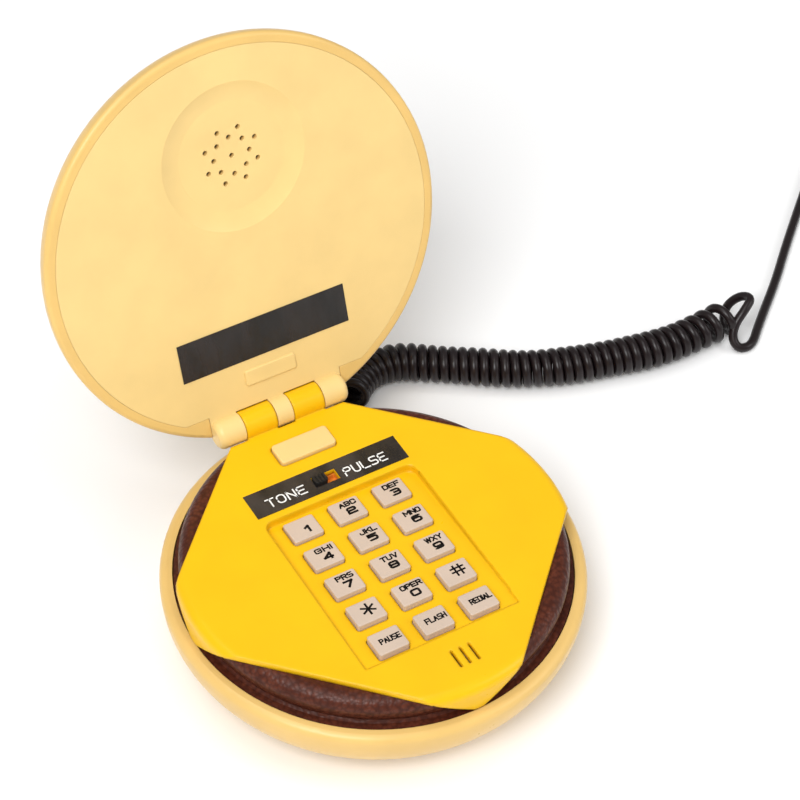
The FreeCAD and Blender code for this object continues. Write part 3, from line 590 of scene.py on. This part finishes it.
def curly_points():
    """A right-handed helix round the route from bottom to bottom, a little uneven, its last turns opening."""
    line = centre_line(CURLY_ROUTE)
    length = sum((two - one).length for one, two in zip(line, line[1:]))
    points = [beside(line, *place) for place in LEAD_IN]
    count = round((length - CURL_LEAD) / CURL_PITCH) * CURL_STEPS
    for step in range(count + 1):
        part = step / count
        drift = CURL_DRIFT * math.sin(DRIFT_RATE * part)
        opening = CURL_OPENING * (part ** OPENING_POWER - part)
        radius = CURL_R / CURL_SHRINK * (1 - CURL_WOBBLE + CURL_WOBBLE * math.sin(WOBBLE_RATE * part + 1))
        phase = 2 * math.pi * (step / CURL_STEPS + 0.5)
        travelled = CURL_LEAD + (length - CURL_LEAD) * (part + drift + opening)
        points.append(beside(line, travelled, radius * math.sin(phase), radius * math.cos(phase)))
    return points


def hank_points():
    """The put-away turns: in on the table, up one wire and out again on top."""
    sweep = HANK_PAST + 2 * math.pi * HANK_TURNS
    step_out = (HANK_R[1] - HANK_R[0]) / TURNS_INWARD
    count = round(sweep / (2 * math.pi) * HANK_STEPS)
    points = []
    for step in range(count + 1):
        turns = sweep / (2 * math.pi) * step / count
        radius = HANK_R[1] - step_out * min(turns, TURNS_INWARD)
        radius = min(HANK_R[1], radius + step_out * max(0.0, turns - TURNS_INWARD - TURNS_RISING))
        climb = min(1.0, max(0.0, (turns - TURNS_INWARD) / TURNS_RISING))
        angle = HANK_START - turns * 2 * math.pi
        height = HANK_Z[0] + (HANK_Z[1] - HANK_Z[0]) * climb
        points.append(HANK_CENTRE + Vector((radius * math.cos(angle), radius * math.sin(angle), height)))
    return points


def make_cord():
    loose = [Vector(place) for place in LAST_LOOP + TAIL_ROUTE]
    points = curly_points() + loose + hank_points() + [Vector(place) for place in END_ROUTE[1:]]
    cord = nurbs("cord", points, WIRE_R)
    finish(cord, "cord", "base")
    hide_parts("curly_cord", "line_cord", "line_cord_coil", "line_cord_end")
    return cord


def make_tie():
    """A flat band round the wound turns."""
    out = Vector((math.cos(TIE_ANGLE), math.sin(TIE_ANGLE), 0))
    across = UP.cross(out)
    middle = HANK_CENTRE + out * (HANK_R[0] + HANK_R[1]) / 2 + UP * (HANK_Z[0] + HANK_Z[1]) / 2
    half_w = (HANK_R[1] - HANK_R[0]) / 2 + WIRE_R + TIE_GAP
    half_h = (HANK_Z[1] - HANK_Z[0]) / 2 + WIRE_R + TIE_GAP
    bm = bmesh.new()
    loops = []
    side = across * TIE_WIDE / 2
    for x, y in rounded_rectangle(2 * half_w, 2 * half_h, TIE_CORNER, 5):
        ray = Vector((x, y)).normalized() * TIE_THICK
        inner = middle + out * x + UP * y
        outer = middle + out * (x + ray.x) + UP * (y + ray.y)
        corners = (inner - side, inner + side, outer + side, outer - side)
        loops.append([bm.verts.new(corner) for corner in corners])
    loops_to_faces(bm, loops + loops[:1], close_ends=False)
    tie = mesh_piece("cord_tie", bm, smooth=False)
    add_modifier(tie, "BEVEL", width=TIE_EDGE, segments=2)
    finish(tie, "switch", "base")
    return tie


def make_strain_relief():
    """A tapered rubber sleeve with grooves round it and a flange in the wall of the bun."""
    heading = Vector((math.cos(RELIEF_HEADING), math.sin(RELIEF_HEADING), 0))
    root = Vector(CURLY_ROUTE[0]) - heading * RELIEF_LONG
    outline = list(RELIEF_FLANGE)
    for rib in range(RIB_COUNT):
        start, radius = RIB_START + rib * RIB_PITCH, RIB_R - rib * RIB_TAPER
        outline += [(radius - depth, start + shift) for depth, shift in RIB_OUTLINE]
    place = Matrix.Translation(root) @ heading.to_track_quat("Z", "Y").to_matrix().to_4x4()
    relief = lathe("relief_sleeve", outline + RELIEF_TIP, RELIEF_STEPS, place)
    finish(relief, "rubber", "base")
    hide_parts("strain_relief")
    return relief


def plug_place():
    """The placing matrix of the plug: level, and turned the way the cord's end points."""
    tip, before = Vector(END_ROUTE[-1]), Vector(END_ROUTE[-2])
    flat = Vector((tip.x - before.x, tip.y - before.y, 0)).normalized()
    turn = Matrix((flat, UP.cross(flat), UP)).transposed().to_4x4()
    return Matrix.Translation(Vector((tip.x, tip.y, 0))) @ turn


def plug_block(name, low, high, edge):
    """A soft-edged block between two corners given in the plug's own axes."""
    centre = [(a + b) / 2 for a, b in zip(low, high)]
    wide, deep, tall = [b - a for a, b in zip(low, high)]
    return soft_block(name, wide, deep, tall, edge, plug_place() @ Matrix.Translation(centre))


def make_latch():
    """The plug's spring latch: a bent strip, narrow at its root on the nose and wide at its free end."""
    place = plug_place()
    bm = bmesh.new()
    loops = []
    for x, z in LATCH_LINE:
        half = LATCH_HALF if x < LATCH_NECK_X else NECK_HALF
        corners = ((-half, 0), (half, 0), (half, LATCH_THICK), (-half, LATCH_THICK))
        loops.append([bm.verts.new(place @ Vector((x, y, z - LATCH_DROP + rise))) for y, rise in corners])
    loops_to_faces(bm, loops)
    latch = mesh_piece("plug_latch", bm)
    add_modifier(latch, "BEVEL", width=LATCH_EDGE, segments=2)
    return latch


def make_plug():
    """A clear modular plug: a body, gold contacts and a spring latch."""
    pieces = []
    body = plug_block("plug_body", PLUG_LOW, PLUG_HIGH, PLUG_EDGE)
    for slot in range(CONTACT_COUNT):
        y = (slot - (CONTACT_COUNT - 1) / 2) * CONTACT_PITCH
        low, high = zip(CONTACT_X, (y - CONTACT_HALF, y + CONTACT_HALF), CONTACT_Z)
        contact = plug_block(f"plug_contact_{slot}", low, high, CONTACT_EDGE)
        pieces.append(finish(contact, "gold", "base"))
    pieces.append(finish(make_latch(), "clear", "base"))
    pieces.append(finish(body, "clear", "base"))
    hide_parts("line_plug")
    return pieces


# Printed legends

LEGENDS = {  # letters and digit or sign of each key
    "1": ("", "1"), "2": ("ABC", "2"), "3": ("DEF", "3"),
    "4": ("GHI", "4"), "5": ("JKL", "5"), "6": ("MNO", "6"),
    "7": ("PRS", "7"), "8": ("TUV", "8"), "9": ("WXY", "9"),
    "star": ("", "*"), "0": ("OPER", "0"), "hash": ("", "#"),
    "pause": ("PAUSE", ""), "flash": ("FLASH", ""), "redial": ("REDIAL", ""),
}

# Height, width over all and stroke of each kind of legend, and its place on a key, in millimetres
LETTER_STYLE = {3: (2.05, 5.6, 0.5), 4: (2.05, 7.0, 0.5), 5: (2.15, 6.8, 0.45), 6: (2.15, 7.0, 0.45)}
DIGIT_STYLE, ONE_WIDTH = (2.8, 3.2, 0.76), 0.55  # and how wide a 1 is beside the other digits
SIGN_STYLE = {"*": (4.6, 4.2, 0.66), "#": (4.3, 4.5, 0.62)}
LETTER_AT, DIGIT_AT, SIGN_AT, WORD_AT = (0.9, 2.2), (0.9, -0.75), (0.85, 0.5), (0.75, 0.3)

# Words beside the tone and pulse switch, with the middle and width of each, in millimetres
MODE_WORDS = (("TONE", -14.0, 12.9), ("PULSE", 12.4, 14.2))
MODE_HEIGHT, MODE_STROKE, MODE_DROP = 3.4, 0.46, 1.0


def key_face(name):
    """A placing matrix on the middle of a key's top, with its third axis against the key's travel."""
    node = frame["nodes"][f"key_{name}"]
    normal = -Vector(joints[f"key_{name}_press"]["axis"]).normalized()
    low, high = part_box(f"key_{name}")
    across = Vector((1, 0, 0))
    upward = normal.cross(across)
    top = max(vertex.co.dot(normal) for vertex in node.data.vertices)
    middle = (low + high) / 2
    middle += normal * (top - middle.dot(normal))
    return Matrix.Translation(middle) @ Matrix((across, upward, normal)).transposed().to_4x4()


def print_keys():
    for name, (letters, digit) in LEGENDS.items():
        parts = []
        if letters:
            parts.append((letters, LETTER_AT if digit else WORD_AT, LETTER_STYLE[len(letters)]))
        if digit in SIGN_STYLE:
            parts.append((digit, SIGN_AT, SIGN_STYLE[digit]))
        elif digit:
            tall, wide, stroke = DIGIT_STYLE
            parts.append((digit, DIGIT_AT, (tall, wide * ONE_WIDTH if digit == "1" else wide, stroke)))
        for index, (words, (x, y), style) in enumerate(parts):
            place = key_face(name) @ Matrix.Translation((x * MM, y * MM, 0))
            text = lettering(f"legend_{name}_{index}", words, place, *[size * MM for size in style])
            finish(text, "print", f"key_{name}")


def print_mode_label():
    low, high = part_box("mode_label")
    middle = (low + high) / 2
    for words, x, span in MODE_WORDS:
        place = Matrix.Translation((x * MM, middle.y - MODE_DROP * MM, high.z))
        sizes = [size * MM for size in (MODE_HEIGHT, span, MODE_STROKE)]
        text = lettering(f"print_{words.lower()}", words, place, *sizes, ROUND_CORNER)
        finish(text, "white_print", "base")


# Build

add_camera()
add_studio()
dress_cad_nodes()
cord = make_cord()
relief = make_strain_relief()
tie = make_tie()
plug = make_plug()
print_keys()
print_mode_label()
